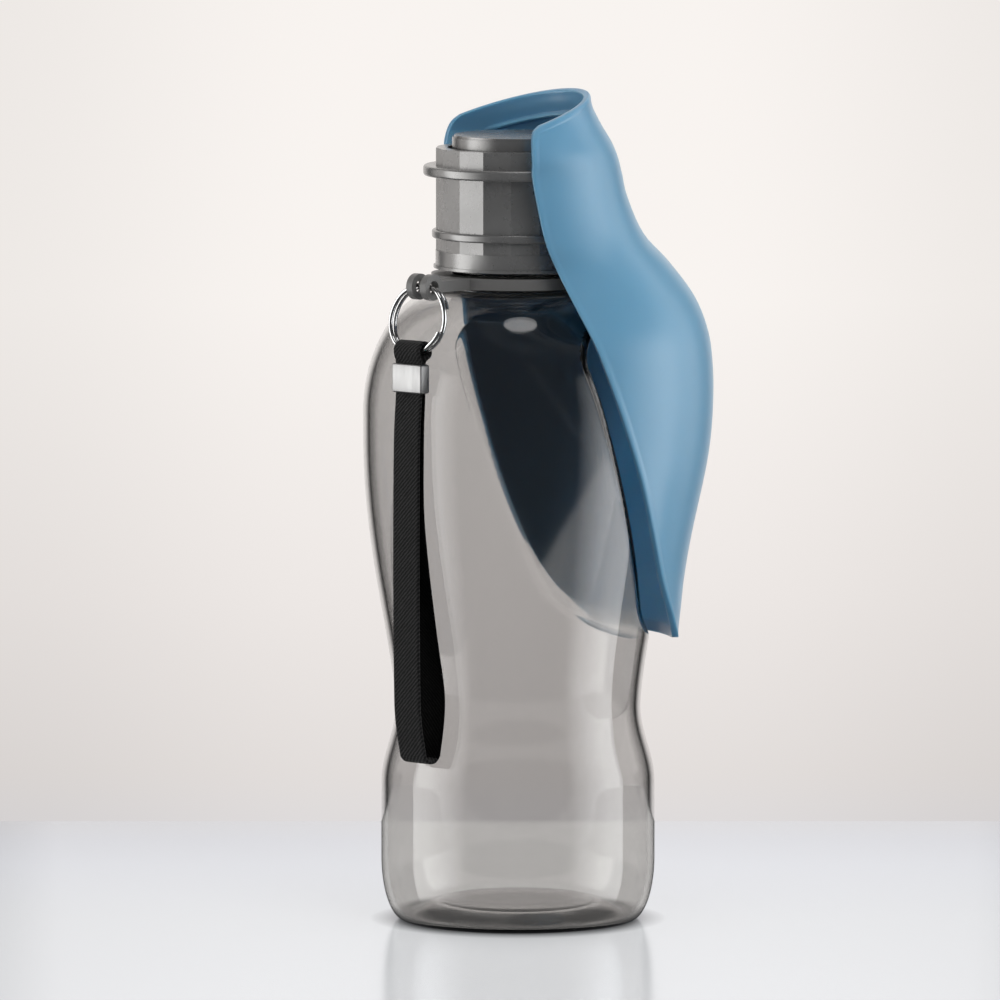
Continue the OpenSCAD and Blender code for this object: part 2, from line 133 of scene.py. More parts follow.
def grid_faces(rows, columns, closed=False):
    """Quads over rings of points; closed also joins the last ring to the first."""
    faces = []
    for r in range(rows if closed else rows - 1):
        here, above = r * columns, (r + 1) % rows * columns
        for c in range(columns):
            aside = (c + 1) % columns
            faces.append((here + c, here + aside, above + aside, above + c))
    return faces


def turned(name, outline, body, material, steps=144):
    """A solid of revolution about the bottle's axis from a closed outline of (radius, height)."""
    points = [
        (r * math.cos(2 * math.pi * k / steps), r * math.sin(2 * math.pi * k / steps), z)
        for r, z in outline
        for k in range(steps)
    ]
    return mesh_object(name, points, grid_faces(len(outline), steps, closed=True), body, material)


def rounded(outline, radius, steps=4):
    """A closed outline with its corners rounded."""
    out = []
    n = len(outline)
    for i in range(n):
        a, b, c = (Vector(outline[(i + k) % n]) for k in (-1, 0, 1))
        r = min(radius, (a - b).length * 0.45, (c - b).length * 0.45)
        p, q = b + (a - b).normalized() * r, b + (c - b).normalized() * r
        for j in range(steps + 1):
            t = j / steps
            out.append(tuple(p * (1 - t) ** 2 + b * 2 * t * (1 - t) + q * t * t))
    return out


# ---------------------------------------------------------------- materials
class Nodes:
    """Builds a material's nodes with short calls."""

    def __init__(self, name):
        self.material = bpy.data.materials.new(name)
        self.material.use_nodes = True
        self.tree = self.material.node_tree
        self.shader = self.tree.nodes["Principled BSDF"]
        self.output = self.tree.nodes["Material Output"]

    def add(self, kind, values=None, **settings):
        node = self.tree.nodes.new(kind)
        for key, value in settings.items():
            setattr(node, key, value)
        for key, value in (values or {}).items():
            node.inputs[key].default_value = value
        return node

    def link(self, source, target):
        self.tree.links.new(source, target)

    def set(self, **values):
        for key, value in values.items():
            self.shader.inputs[key.replace("_", " ")].default_value = value

    def place(self, scale=(1, 1, 1)):
        """Object coordinates in metres, scaled."""
        where = self.add("ShaderNodeTexCoord")
        mapping = self.add("ShaderNodeMapping", {"Scale": scale})
        self.link(where.outputs["Object"], mapping.inputs["Vector"])
        return mapping.outputs["Vector"]

    def noise(self, scale, detail=3, place=(1, 1, 1), rough=0.5):
        node = self.add("ShaderNodeTexNoise", {"Scale": scale, "Detail": detail, "Roughness": rough})
        self.link(self.place(place), node.inputs["Vector"])
        return node.outputs["Fac"]

    def ramp(self, source, stops):
        node = self.add("ShaderNodeValToRGB")
        band = node.color_ramp
        while len(band.elements) < len(stops):
            band.elements.new(0.5)
        for element, (at, colour) in zip(band.elements, stops):
            element.position = at
            element.color = (*colour, 1)
        self.link(source, node.inputs["Fac"])
        return node.outputs["Color"]

    def range(self, source, low, high, from_low=0.0, from_high=1.0):
        node = self.add(
            "ShaderNodeMapRange",
            {"From Min": from_low, "From Max": from_high, "To Min": low, "To Max": high},
        )
        self.link(source, node.inputs["Value"])
        return node.outputs["Result"]

    def bump(self, height, strength, distance):
        node = self.add("ShaderNodeBump", {"Strength": strength, "Distance": distance})
        self.link(height, node.inputs["Height"])
        self.link(node.outputs["Normal"], self.shader.inputs["Normal"])


def plastic(name, colour, roughness=0.32, grain=0.06, tone=0.05):
    """Moulded plastic: a fine grain, faint tone changes and small scuffs."""
    m = Nodes(name)
    dark = tuple(c * (1 - tone) for c in colour)
    light = tuple(min(1, c * (1 + tone)) for c in colour)
    m.link(m.ramp(m.noise(60, 4), [(0.35, dark), (0.65, light)]), m.shader.inputs["Base Color"])
    m.link(m.range(m.noise(240, 5), roughness - 0.06, roughness + 0.07), m.shader.inputs["Roughness"])
    m.bump(m.noise(2600, 2), grain, 0.00006)
    m.set(IOR=1.5)
    return m.material


def semi_gloss(name, colour, roughness=0.24):
    """Dense moulded plastic with a bright, slightly metallic sheen on its flats."""
    m = Nodes(name)
    dark, light = (tuple(c * k for c in colour) for k in (0.93, 1.06))
    m.link(m.ramp(m.noise(70, 4), [(0.35, dark), (0.65, light)]), m.shader.inputs["Base Color"])
    m.link(m.range(m.noise(260, 5), roughness - 0.05, roughness + 0.07), m.shader.inputs["Roughness"])
    m.bump(m.noise(2400, 2), 0.05, 0.00005)
    m.set(IOR=1.5, Metallic=0.62, Coat_Weight=0.15, Coat_Roughness=0.25)
    return m.material


def clear_plastic():
    """Smoke-tinted clear plastic, a little uneven as blown bottles are."""
    m = Nodes("smoke_clear")
    tint = m.ramp(m.noise(14, 2, (1, 1, 0.4)), [(0.3, (0.7, 0.696, 0.692)), (0.7, (0.73, 0.726, 0.722))])
    m.link(tint, m.shader.inputs["Base Color"])
    m.link(m.range(m.noise(90, 4), 0.02, 0.055), m.shader.inputs["Roughness"])
    m.bump(m.noise(11, 1, (1, 1, 0.45)), 0.06, 0.0006)
    m.set(Transmission_Weight=1.0, IOR=1.44, Coat_Weight=0.35, Coat_Roughness=0.05)
    return m.material


PAINTED_LIGHT_BAND = 0.024, 0.038  # metres from the trough's middle plane over which the painted light of the inside's middle band fades out


def blue_silicone(name, low, high, coat=0.5, gloss=0.5, painted_light_colour=None):
    """Translucent blue with a satin skin; painted_light_colour is a lighter colour for a middle band, painted
    light for light through the wall, where the subsurface weight is also raised.
    """
    m = Nodes(name)
    colour = m.ramp(m.noise(11, 3, (1, 1, 0.6)), [(0.3, low), (0.7, high)])
    m.link(colour, m.shader.inputs["Base Color"])
    m.link(m.range(m.noise(160, 5), 0.3, 0.42), m.shader.inputs["Roughness"])
    m.bump(m.noise(1800, 3), 0.06, 0.00008)
    m.set(Transmission_Weight=0.12, IOR=1.45, Subsurface_Weight=0.3, Subsurface_Scale=0.005)
    m.set(Coat_Weight=coat, Coat_Roughness=0.32, Specular_IOR_Level=gloss)
    m.shader.inputs["Subsurface Radius"].default_value = (0.4, 0.8, 1.0)
    if painted_light_colour:
        # Middle band: painted light in the colour, together with a real rise of the subsurface weight.
        parts = m.add("ShaderNodeSeparateXYZ")
        m.link(m.place(), parts.inputs["Vector"])
        off_centre = m.add("ShaderNodeMath", operation="ABSOLUTE")
        m.link(parts.outputs["Y"], off_centre.inputs[0])
        middle = m.range(off_centre.outputs["Value"], 1, 0, *PAINTED_LIGHT_BAND)
        blend = m.add("ShaderNodeMix", data_type="RGBA")
        blend.inputs[7].default_value = (*painted_light_colour, 1)
        m.link(middle, blend.inputs[0])
        m.link(colour, blend.inputs[6])
        m.link(blend.outputs[2], m.shader.inputs["Base Color"])
        m.link(m.range(middle, 0.3, 1.0), m.shader.inputs["Subsurface Weight"])
    return m.material


def metal(name, colour, roughness, brushed=0.0):
    m = Nodes(name)
    m.link(
        m.ramp(m.noise(300, 3), [(0.3, tuple(c * 0.93 for c in colour)), (0.7, colour)]),
        m.shader.inputs["Base Color"],
    )
    streaks = m.noise(900, 4, (1, 1, 0.06)) if brushed else m.noise(400, 3)
    m.link(m.range(streaks, roughness * 0.75, roughness * 1.3), m.shader.inputs["Roughness"])
    m.bump(streaks, 0.04 + brushed, 0.00002)
    m.set(Metallic=1.0)
    return m.material


def webbing(name, tone=1.0, sheen=0.08, gloss=0.3):
    """Black twill webbing: slanting ribs woven across the strap, with fuzz and worn highlights."""
    m = Nodes(name)
    where = m.add("ShaderNodeUVMap")
    twill = m.add("ShaderNodeTexWave", {"Scale": 0.5, "Distortion": 2.2, "Detail": 3, "Detail Scale": 2.6})
    twill.bands_direction = "DIAGONAL"
    m.link(where.outputs["UV"], twill.inputs["Vector"])
    cross = m.add("ShaderNodeTexWave", {"Scale": 0.9, "Distortion": 1.2, "Detail": 2})
    cross.bands_direction = "Y"
    m.link(where.outputs["UV"], cross.inputs["Vector"])
    weave = m.add("ShaderNodeMath", operation="MULTIPLY")
    m.link(twill.outputs["Fac"], weave.inputs[0])
    m.link(m.range(cross.outputs["Fac"], 0.55, 1.0), weave.inputs[1])
    blacks = [(at, (tone * value,) * 3) for at, value in ((0.15, 0.002), (0.55, 0.008), (0.95, 0.03))]
    m.link(m.ramp(weave.outputs["Value"], blacks), m.shader.inputs["Base Color"])
    m.link(m.range(weave.outputs["Value"], 0.95, 0.62), m.shader.inputs["Roughness"])
    m.bump(weave.outputs["Value"], 0.6, 0.0002)
    m.set(Sheen_Weight=sheen, Sheen_Roughness=0.5, Specular_IOR_Level=gloss)
    return m.material


M_CLEAR = clear_plastic()
M_BLUE = blue_silicone("trough_blue", (0.145, 0.35, 0.525), (0.165, 0.385, 0.565))
# The faces across the trough's wall at its rim and ends: a darker copy of the blue, painted shade.
M_BLUE_EDGE_PAINTED_SHADE = blue_silicone("trough_edge_painted_shade", (0.09, 0.275, 0.45), (0.105, 0.305, 0.49), 0.25)
# The trough's inside: a darker copy of the blue with less gloss, painted shade, and a lighter middle band of
# painted light.
M_BLUE_IN_PAINTED_SHADE_AND_LIGHT = blue_silicone(
    "trough_inside_painted_shade_and_light", (0.09, 0.2, 0.285), (0.11, 0.235, 0.33), 0.0, 0.12, painted_light_colour=(0.25, 0.46, 0.57)
)
M_CAP = semi_gloss("cap_plastic", (0.29, 0.287, 0.284), 0.27)
M_RING = semi_gloss("ring_plastic", (0.27, 0.267, 0.264), 0.25)
M_COLLAR = plastic("collar_plastic", (0.15, 0.147, 0.143), 0.38)
M_INNER = plastic("inner_plastic", (0.3, 0.295, 0.285), 0.4)
M_SEAL = plastic("seal_silicone", (0.5, 0.49, 0.47), 0.5)
M_CHROME = metal("ring_chrome", (0.86, 0.86, 0.86), 0.09)
M_SATIN = metal("clip_satin", (0.42, 0.42, 0.42), 0.42, 0.05)
M_WEAVE = webbing("strap_weave")
# The webbing's inner layer: a copy a fifth as bright, with no sheen and little gloss, painted shade.
M_WEAVE_PAINTED_SHADE = webbing("strap_weave_painted_shade", 0.2, 0.0, 0.05)

CAD_LOOKS = {
    "carry_collar": M_COLLAR,
    "cap_liner": M_INNER,
    "cap_gasket": M_SEAL,
    "deck_seal": M_SEAL,
    "dial_seal": M_SEAL,
    "dial_stem": M_INNER,
    "dial_clip": M_SATIN,
    "pivot_pin_near": M_SATIN,
    "pivot_pin_far": M_SATIN,
    "cap_shell": M_CAP,
    "hinge_ring": M_RING,
    "grip_ring": M_RING,
    "dial_disc": M_RING,
}


def soft_edges(obj, width):
    """Rounds the hard edges of a CAD node as moulding does."""
    bevel = obj.modifiers.new("edges", "BEVEL")
    bevel.width = width * MM
    bevel.segments = 2
    bevel.limit_method = "ANGLE"
    bevel.angle_limit = math.radians(14)
    bevel.harden_normals = False


for node_name, look in CAD_LOOKS.items():
    piece = nodes[node_name]
    piece.data.materials.clear()
    piece.data.materials.append(look)


# ---------------------------------------------------------------- the bottle
def side_radius(z):
    if z < BULGE_TOP:
        return BULGE_R
    if z < WAIST_Z:
        return mix(BULGE_R, WAIST_R, ease((z - BULGE_TOP) / (WAIST_Z - BULGE_TOP)))
    t = min(1, (z - WAIST_Z) / (BELLY_Z - 6 - WAIST_Z))
    return mix(WAIST_R, BELLY_R, ease(t**0.77))


def bottle_rows():
    """(radius, height) down the bottle's outside from the shoulder's top to the middle of the base."""
    rows = []
    for a in range(88, -1, -2):
        t = math.radians(a)
        rows.append((NECK_R + (BELLY_R - NECK_R) * math.cos(t), BELLY_Z + SHOULDER_H * math.sin(t)))
    z = BELLY_Z - 1
    while z > FOOT_TOP:
        rows.append((side_radius(z), z))
        z -= 1
    for a in range(90, -1, -5):
        t = math.radians(a)
        rows.append((FOOT_R + (BULGE_R - FOOT_R) * math.sin(t), FOOT_TOP - FOOT_TOP * math.cos(t)))
    rows += [(FOOT_R - 2, 0), (FOOT_R - 3.5, 0.25), (FOOT_R - 6, PUNT_H * 0.45)]
    rows += [(FOOT_R - 9, PUNT_H * 0.9), (FOOT_R - 11, PUNT_H), (FOOT_R - 20, PUNT_H), (2, PUNT_H)]
    return rows


def face_distance(z):
    """How far the slanted face lies from the axis towards +X at a height, with a scooped foot and brow."""
    plane = FACE_FOOT_X - (z - FACE_FOOT_Z) * FACE_SLOPE
    foot = max(0.0, (FACE_FOOT_Z + 7 - z) / 20) ** 2 * 26
    brow = max(0.0, (z - SHOULDER_TOP + 22) / 22) ** 2 * 32
    return plane + foot + brow


def bottle_point(radius, z, angle):
    """A point of the bottle's outside, seen from a middle line that stays inside the slanted face."""
    lean = -12 * ease((z - 58) / 26) * ease((SHOULDER_TOP - 1 - z) / 8)
    c, s = math.cos(angle), math.sin(angle)
    reach = -lean * c + math.sqrt(max(0.0, radius**2 - (lean * s) ** 2))
    if c > 0.02 and z < SHOULDER_TOP:
        reach = max(1.0, soft_min(reach, (face_distance(z) - lean) / c, 4))
    return (lean + reach * c, reach * s, z)


def inner_rows(outer):
    """The wall's inside: every point of the outside moved inwards by the wall."""
    inner = []
    last = len(outer) - 1
    for j, row in enumerate(outer):
        below, above = outer[max(0, j - 1)], outer[min(last, j + 1)]
        line = []
        for k, point in enumerate(row):
            turn = Vector(row[(k + 1) % len(row)]) - Vector(row[k - 1])
            rise = Vector(above[k]) - Vector(below[k])
            line.append(tuple(Vector(point) - turn.cross(rise).normalized() * WALL))
        inner.append(line)
    return inner


def make_bottle():
    steps = 320
    angles = [2 * math.pi * k / steps for k in range(steps)]
    bead = [(0, 0.3), (0, 3.8), (0.8, 3.9), (1, 4.3), (0.8, 4.7), (0, 5)]
    neck_out = [(NECK_R + out, SHOULDER_TOP + up) for out, up in bead]
    for i in range(RIBS):
        foot = SHOULDER_TOP + RIB_START + i * RIB_PITCH
        neck_out += [(NECK_R + out, foot + up) for out, up in ((0, 0), (RIB_H, 0.4), (RIB_H, 1.1), (0, 1.6))]
    neck_out += [(NECK_R, NECK_TOP - 0.4), (NECK_R - 0.4, NECK_TOP)]
    neck_in = [(NECK_BORE_R + 0.4, NECK_TOP), (NECK_BORE_R, NECK_TOP - 0.4)]
    neck_in.append((NECK_BORE_R, SHOULDER_TOP - WALL))
    shell = [[bottle_point(radius, z, a) for a in angles] for radius, z in reversed(bottle_rows())]
    rows = shell + [[(r * math.cos(a), r * math.sin(a), z) for a in angles] for r, z in neck_out + neck_in]
    rows += list(reversed(inner_rows(shell)))
    points = [p for row in rows for p in row]
    faces = grid_faces(len(rows), steps)
    last = (len(rows) - 1) * steps
    faces += [tuple(range(steps)), tuple(last + k for k in range(steps))]
    obj = mesh_object("bottle_clear", points, faces, "bottle", M_CLEAR)
    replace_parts(obj, "bottle_foot", "bottle_waist", "bottle_body", "bottle_neck")


# ---------------------------------------------------------------- the trough
HOOD_R = RING_R + 0.5 + 2
TROUGH_W, REACH = trough_hi.y, trough_hi.x
HOOD_Z, HOOD_RISE = 231.2, 9
TROUGH_WALL = 2
LEDGE_AT, LEDGE_W = 7, 1.7  # the shelf inside the hood: its drop from the rim, and how far it stands in
LEDGE_LOW = HOOD_Z - 4
EDGE_GAP = 3.7
LIP_H, LIP_W, RIM_ROUND = 0.14, 1.3, 0.3
RIM_COLUMNS = 4  # columns of the inside next to the rim that keep the outside's colour, without the painted shade


def edge_at(z):
    """Where the trough's edge lies in front of the slanted face, towards +X."""
    return FACE_FOOT_X - (z - FACE_FOOT_Z) * FACE_SLOPE + EDGE_GAP


def hood_half(z):
    """Half width of the hood that lets it swing past the ring."""
    return math.sqrt(RING_R**2 - (z - HINGE_Z) ** 2) + HOOD_R - RING_R


def trough_stations():
    """[height, half width, reach of the back, edge's x], from the tip to the hood's mouth."""
    t, b = TIP_Z, BELLY_Z
    return [
        [t, TROUGH_W - 2.2, REACH - 11.4, REACH - 13.4],
        [t + 1, TROUGH_W - 2.1, REACH - 11.2, REACH - 18],
        [t + 4, TROUGH_W - 2, REACH - 11, edge_at(t + 4) + 5.7],
        [t + 9, TROUGH_W - 1.9, REACH - 10.4, edge_at(t + 9) + 3.6],
        [t + 19, TROUGH_W - 1.5, REACH - 9.2, edge_at(t + 19) + 0.9],
        [t + 31, TROUGH_W - 0.3, REACH - 7, edge_at(t + 31)],
        [t + 49, TROUGH_W, REACH - 2.6, edge_at(t + 49)],
        [b - 7, TROUGH_W - 0.5, REACH - 0.8, edge_at(b - 7)],
        [b + 3, TROUGH_W - 1, REACH, edge_at(b + 3)],
        [b + 13, TROUGH_W - 2, REACH, edge_at(b + 13)],
        [b + 23, TROUGH_W - 3.6, REACH - 1.3, edge_at(b + 23)],
        [b + 33, TROUGH_W - 7.6, REACH - 5.2, edge_at(b + 33)],
        [b + 43, TROUGH_W - 12.2, REACH - 12.8, edge_at(b + 43)],
        [grip_lo.z + 1, HOOD_R + 3, HOOD_R + 6.9, -6.6],
        [HINGE_Z - 7.5, HOOD_R + 1.2, HOOD_R + 1.8, -8.6],
        [HINGE_Z, HOOD_R, HOOD_R, -9.4],
        [HINGE_Z + 4, hood_half(HINGE_Z + 4), HOOD_R - 2.4, -9.5],
        [HINGE_Z + 7.5, hood_half(HINGE_Z + 7.5), HOOD_R - 5.8, -9.5],
        [HOOD_Z - 3, hood_half(HOOD_Z - 3), HOOD_R - 8.6, -9],
        [HOOD_Z - 1, hood_half(HOOD_Z - 1), HOOD_R - 9.4, -8],
        [HOOD_Z, hood_half(HOOD_Z), HOOD_R - 9.8, -5.8],
    ]


def lift(z, x):
    """How much the hood's back stands above its front at a place."""
    if z <= HINGE_Z:
        return 0
    return HOOD_RISE * (z - HINGE_Z) / (HOOD_Z - HINGE_Z) * (x + 7.6) / (HOOD_R - 1.6)


def finer(stations, above, step):
    """Adds rows between the stations that lie above a height, no further apart than a step."""
    rows = [stations[0]]
    for low, high in zip(stations, stations[1:]):
        parts = max(1, math.ceil((high[0] - low[0]) / step)) if high[0] > above else 1
        rows += [[mix(a, b, k / parts) for a, b in zip(low, high)] for k in range(1, parts + 1)]
    return rows


def make_trough():
    stations = finer(catmull(trough_stations(), 5), HINGE_Z + 1, 0.3)
    columns = 96
    rows = []
    n = len(stations)
    for j, (z, half, back, edge) in enumerate(stations):
        centre = back - half
        sweep = math.acos(max(-0.999, min(0.999, (edge - centre) / (half - TROUGH_WALL / 2))))
        from_tip = z - TIP_Z
        outside, inside = [], []
        for i in range(columns + 1):
            u = -math.cos(math.pi * i / columns)
            angle = u * sweep
            from_edge = (1 - abs(u)) * sweep * half
            x_out = centre + half * math.cos(angle)
            from_top = HOOD_Z + lift(HOOD_Z, x_out) - z - lift(z, x_out)
            away = min(from_edge, from_top, from_tip + 0.01)
            lip = LIP_H * (1 - ease((away - LIP_W) / 0.5))
            round_off = RIM_ROUND * max(0.0, 1 - away / 0.5) ** 2
            ledge = LEDGE_W * ease((from_top - LEDGE_AT) / 0.25) * ease((LEDGE_AT + 1.5 - from_top) / 0.25)
            ledge *= ease((x_out - 2) / 6)
            r_out = half - LIP_H + lip - round_off
            r_in = half - TROUGH_WALL + round_off - ledge
            for r, line in ((r_out, outside), (r_in, inside)):
                x = centre + r * math.cos(angle)
                line.append((x, r * math.sin(angle), z + lift(z, x)))
        rows.append(outside + list(reversed(inside)))
    width = 2 * (columns + 1)
    points = [p for row in rows for p in row]
    faces = grid_faces(n, width)
    for base in (0, (n - 1) * width):
        for i in range(columns):
            faces.append((base + i, base + i + 1, base + width - 2 - i, base + width - 1 - i))
    obj = mesh_object("trough_leaf", points, faces, "trough", M_BLUE)
    obj.data.materials.append(M_BLUE_IN_PAINTED_SHADE_AND_LIGHT)
    obj.data.materials.append(M_BLUE_EDGE_PAINTED_SHADE)
    # Slots: 0 the outside; 1 the inside below the ledge, painted shade with a painted-light middle band; 2
    # the faces across the wall, the darker edge blue, painted shade.
    for polygon in obj.data.polygons:
        spots = sorted({v % width for v in polygon.vertices})
        heights = [obj.data.vertices[v].co.z / MM for v in polygon.vertices]
        inner = columns + RIM_COLUMNS < spots[0] and spots[-1] < width - RIM_COLUMNS
        across = any(v <= columns for v in spots) and any(v > columns for v in spots)
        shaded = inner and TIP_Z + 3 < heights[0] and max(heights) < LEDGE_LOW
        polygon.material_index = 2 if across else int(shaded)
    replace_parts(obj, "trough_shell")


# ---------------------------------------------------------------- cap details
def make_cap_details():
    """Rounds the edges of the cap, collar and dial, and turns the cap's two rings with round rims."""
    soft_edges(nodes["cap_shell"], 0.18)
    soft_edges(nodes["carry_collar"], 0.3)
    soft_edges(nodes["dial_disc"], 0.5)
    inner = cap_hi.x - 1.4
    for name, node, lo, hi, fillet in (
        ("hinge_band", "hinge_ring", ring_lo, ring_hi, 0.9),
        ("grip_band", "grip_ring", grip_lo, grip_hi, 0.7),
    ):
        outline = rounded([(inner, lo.z), (hi.x, lo.z), (hi.x, hi.z), (inner, hi.z)], fillet, 5)
        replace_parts(turned(name, outline, "cap", M_RING), node)


# ---------------------------------------------------------------- collar fittings
RADIAL = Vector((math.cos(LUG_ANGLE), math.sin(LUG_ANGLE), 0))
ALONG = Vector((-math.sin(LUG_ANGLE), math.cos(LUG_ANGLE), 0))
UP = Vector((0, 0, 1))
collar_lo, collar_hi = span("carry_collar")
clip_lo, clip_hi = span("strap_clip")
LUG_X, LUG_Z = 40, (collar_lo.z + collar_hi.z) / 2
RING_OUT, WIRE_D, RING_LEAN = 10.5, 1.3, math.radians(15)
RING_MID = RING_OUT - WIRE_D / 2
RING_DROP = RING_MID - (WIRE_D * 1.5 - WIRE_D / 2) / 3
FOOT_X = LUG_X + (RING_DROP + RING_MID) * math.sin(RING_LEAN)
FOOT_Z = LUG_Z - (RING_DROP + RING_MID) * math.cos(RING_LEAN)


def make_split_ring():
    """Two turns of round wire in one tube, with the step where a split ring crosses over."""
    curve = bpy.data.curves.new("key_ring", "CURVE")
    curve.dimensions = "3D"
    curve.bevel_depth = WIRE_D / 2 * MM
    curve.bevel_resolution = 6
    curve.use_fill_caps = True
    steps = 240
    angles = [20 + 680 * i / steps for i in range(steps + 1)]
    spline = curve.splines.new("POLY")
    spline.points.add(len(angles) - 1)
    out = RADIAL * math.cos(RING_LEAN) + UP * math.sin(RING_LEAN)
    down = RADIAL * math.sin(RING_LEAN) - UP * math.cos(RING_LEAN)
    middle = RADIAL * LUG_X + UP * LUG_Z + down * RING_DROP
    pitch = WIRE_D + 0.45
    for i, angle in enumerate(angles):
        a = math.radians(angle)
        side = 2 * ease((angle - 310) / 100) - 1
        p = middle + out * pitch / 2 * side + ALONG * RING_MID * math.cos(a) - down * RING_MID * math.sin(a)
        spline.points[i].co = (*(p * MM), 1)
    obj = bpy.data.objects.new("key_ring", curve)
    bpy.context.scene.collection.objects.link(obj)
    curve.materials.append(M_CHROME)
    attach(obj, "ring")
    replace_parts(obj, "split_ring")
    return obj


# The strap's middle line in the plane that points away from the bottle: [out from the ring's foot, height].
FOLD_R, STRAP_T, STRAP_W, STRAP_LEN = 2, 1, 10, 122
FOLD_Z = FOOT_Z + 0.7
STRAP_END = FOLD_Z + FOLD_R + STRAP_T - STRAP_LEN
CLIP_H = 8.3
CLIP_Z = FOLD_Z - FOLD_R - CLIP_H - 1.7
HANG, LOOP_R, LAYERS, SIDE_GAP, BOW, LOOP_IN = 0.8, 3.2, 1.3, 0.6, 2, 8.6
OUTER_X = HANG + 0.1 + LAYERS / 2
INNER_X = OUTER_X - LAYERS
LOOP_Z = STRAP_END + LOOP_R + STRAP_T / 2


def arc(cx, cz, r, a, b, n):
    """Points of an arc about (cx, cz), between two angles in degrees."""
    turns = [math.radians(mix(a, b, i / n)) for i in range(n + 1)]
    return [(cx + r * math.cos(t), cz + r * math.sin(t)) for t in turns]


# Where the inner layer lies: [share of LOOP_IN, share of the height from the bottom to the clip].
BACK_LAYER = 0.49, 0.93  # shares of the webbing's length between which it is the shaded inner layer
BACK_SHARES = [(1, 0.12), (1, 0.2), (0.63, 0.35), (0.22, 0.54), (0, 0.69), (0, 0.88)]


def side_x(z):
    """The nearest to the bottle that the strap's middle line comes."""
    return side_radius(z) + SIDE_GAP + STRAP_T / 2 - FOOT_X


def strap_line():
    """The strap's middle line, once round the loop."""

    def at(x, t, off=False):
        z = mix(STRAP_END, CLIP_Z, t)
        return (max(x + HANG, side_x(z)) if off else x + HANG, z)

    loop_x = max(HANG - 1.2 * LOOP_R, side_x(LOOP_Z) + LOOP_R)
    line = [
        (FOLD_R + STRAP_T / 2, FOLD_Z),
        (FOLD_R + STRAP_T / 4, FOLD_Z - 0.75 * FOLD_R),
        (OUTER_X, CLIP_Z + CLIP_H),
        (OUTER_X, CLIP_Z),
        at(0.85 * BOW, 0.86),
        at(BOW, 0.54),
        (max(HANG + 0.85 * BOW, loop_x + LOOP_R + 1.15 * BOW), mix(STRAP_END, CLIP_Z, 0.22)),
        (loop_x + LOOP_R + 0.9 * BOW, mix(STRAP_END, CLIP_Z, 0.12)),
    ]
    line += arc(loop_x, LOOP_Z, LOOP_R, 0, -180, 6)
    line += [at(-share * LOOP_IN, t, True) for share, t in BACK_SHARES]
    line += [(INNER_X, CLIP_Z), (INNER_X, CLIP_Z + CLIP_H)]
    line += [(-FOLD_R - STRAP_T / 4, FOLD_Z - 0.7 * FOLD_R), (-FOLD_R - STRAP_T / 2, FOLD_Z)]
    line += arc(0, FOLD_Z, FOLD_R + STRAP_T / 2, 165, 15, 4)
    return line


def make_strap():
    """One closed loop of flat webbing with rounded edges, and UVs in millimetres for its weave."""
    line = strap_line()
    dense = catmull([list(p) for p in line] + [list(line[0])], 7)[:-1]
    n = len(dense)
    half, t = STRAP_W / 2, STRAP_T / 2 - 0.05
    across = [(-half, 0)]
    across += [(-half + 0.25, t * 0.85), (-half + 0.8, t), (-half + 1.2, t * 0.9)]
    across += [(x, t) for x in (-2.5, 0, 2.5)]
    across += [(half - 1.2, t * 0.9), (half - 0.8, t), (half - 0.25, t * 0.85), (half, 0)]
    ring = across + [(x, -h) for x, h in reversed(across[1:-1])]
    points, lengths, run = [], [], 0.0
    for i in range(n):
        p, q = Vector(dense[(i + 1) % n]), Vector(dense[i - 1])
        d = (p - q).normalized()
        side = Vector((d.y, -d.x))
        here = Vector(dense[i])
        if i:
            run += (here - Vector(dense[i - 1])).length
        lengths.append(run)
        for x, h in ring:
            at = here + side * h
            points.append(RADIAL * (FOOT_X + at.x) + UP * at.y + ALONG * x)
    w = len(ring)
    faces = grid_faces(n, w, closed=True)
    obj = mesh_object("strap_webbing", points, faces, "strap", M_WEAVE)
    total = run + (Vector(dense[0]) - Vector(dense[-1])).length
    # The inner layer of the loop takes the painted shade.
    obj.data.materials.append(M_WEAVE_PAINTED_SHADE)
    uv = obj.data.uv_layers.new(name="UVMap")
    for polygon in obj.data.polygons:
        share = lengths[min(polygon.vertices) // w] / total
        polygon.material_index = int(BACK_LAYER[0] < share < BACK_LAYER[1])
        rows = [v // w for v in polygon.vertices]
        wraps = max(rows) - min(rows) > 1
        for corner, v in zip(polygon.loop_indices, polygon.vertices):
            row = v // w
            along = total if wraps and row == 0 else lengths[row]
            uv.data[corner].uv = (ring[v % w][0], along)
    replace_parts(obj, "wrist_strap")


def make_clip():
    """The square metal clip: a pressed plate with a raised middle, folded round the webbing."""
    half_w = STRAP_W / 2 + 0.65
    mid_x = FOOT_X + (OUTER_X + INNER_X) / 2
    half_t = (LAYERS + STRAP_T) / 2 + 0.65
    low, high = clip_lo.z, clip_hi.z

    def frame_at(inset, radius):
        """The clip's outline, moved inwards, with rounded corners."""
        t, w = half_t - inset, half_w - inset
        return rounded([(-t, -w), (t, -w), (t, w), (-t, w)], radius)

    outline, inner = frame_at(0, 0.45), frame_at(0.55, 0.2)
    levels = [(outline, low + 0.2, 0.12), (outline, low + 0.45, 0)]
    levels += [(outline, high - 0.45, 0), (outline, high - 0.2, 0.12)]
    levels += [(outline, high, 0.3), (inner, high, 0), (inner, low, 0), (outline, low, 0.3)]
    points = []
    for shape, z, inset in levels:
        for x, y in shape:
            k = 1 - inset / half_w
            points.append(RADIAL * (mid_x + x * (1 - inset / half_t)) + ALONG * y * k + UP * z)
    faces = grid_faces(len(levels), len(outline), closed=True)
    obj = mesh_object("clip_plate", points, faces, "strap", M_SATIN)
    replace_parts(obj, "strap_clip")


